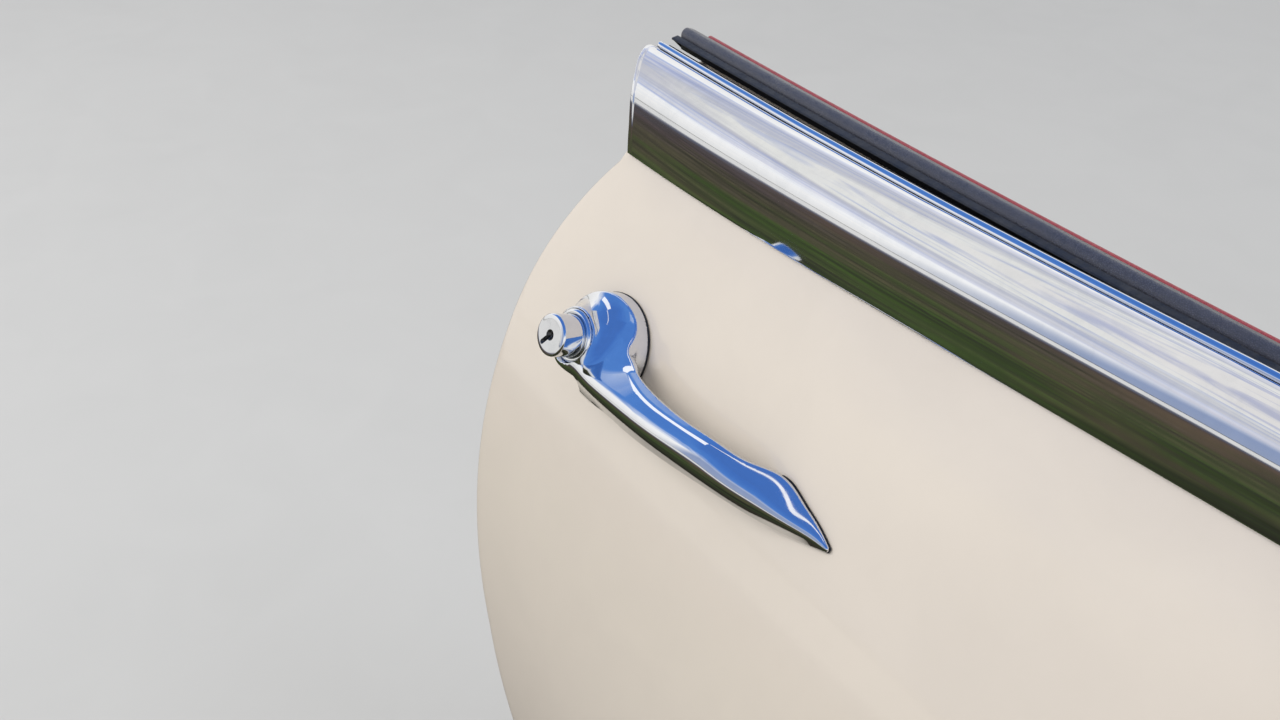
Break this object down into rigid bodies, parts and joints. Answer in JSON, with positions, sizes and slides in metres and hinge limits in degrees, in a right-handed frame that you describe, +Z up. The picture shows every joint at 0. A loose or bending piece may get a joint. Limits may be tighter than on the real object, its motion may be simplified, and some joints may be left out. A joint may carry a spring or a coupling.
{
  "type": "classic roadster door",
  "caption": "Right-hand door of a small open two-seater, with curved skin, chrome waist capping, bar handle with lock button, red trim and its hinge.",
  "frame": {"origin": "centre of the four bolt holes of the hinge's post leaf, on its face against the pillar", "axes": "+X forward out of the post leaf's face, +Y towards the middle of the car, +Z up; the door's outside faces -Y"},
  "size_m": [0.9244, 0.2284, 0.4988],
  "materials": {
    "body_paint": "gloss cream paint",
    "chrome": "polished chrome plate",
    "rubber": "black moulded rubber",
    "rail_vinyl": "slate black grained covering",
    "red_piping": "red covered piping",
    "red_trim": "dark red hide over board",
    "glass": "clear flat toughened glass, green edge",
    "hinge_paint": "cast hinge leaves in body colour",
    "steel": "bright plated steel",
    "knob_black": "black moulded knob"
  },
  "bodies": {
    "hinge_post": {"hinge_post_leaf": "hinge_paint", "hinge_pin": "steel"},
    "door": {"hinge_door_leaf": "hinge_paint", "outer_skin": "body_paint", "inner_shell": "body_paint", "waist_capping": "chrome", "waist_bead": "chrome", "outer_waist_seal": "rubber", "door_glass": "glass", "waist_rail": "rail_vinyl", "trim_piping": "red_piping", "trim_casing": "red_trim", "casing_moulding": "chrome", "winder_escutcheon": "chrome", "winder_arm": "chrome", "winder_knob": "knob_black", "release_escutcheon": "chrome", "release_lever": "chrome", "handle_body": "chrome", "rear_gasket": "rubber", "front_gasket": "rubber", "barrel_seat": "chrome", "lock_barrel": "chrome", "latch_plate": "steel", "latch_rotor": "steel", "latch_dovetail": "steel", "door_seal": "rubber", "upper_buffer": "rubber", "lower_buffer": "rubber"}
  },
  "joints": [
    {"name": "door_swing", "type": "hinge", "parent": "hinge_post", "child": "door", "pos_m": [-0.011, -0.047, 0], "axis": [0, 0, 1], "range_deg": [0, 70]}
  ]
}
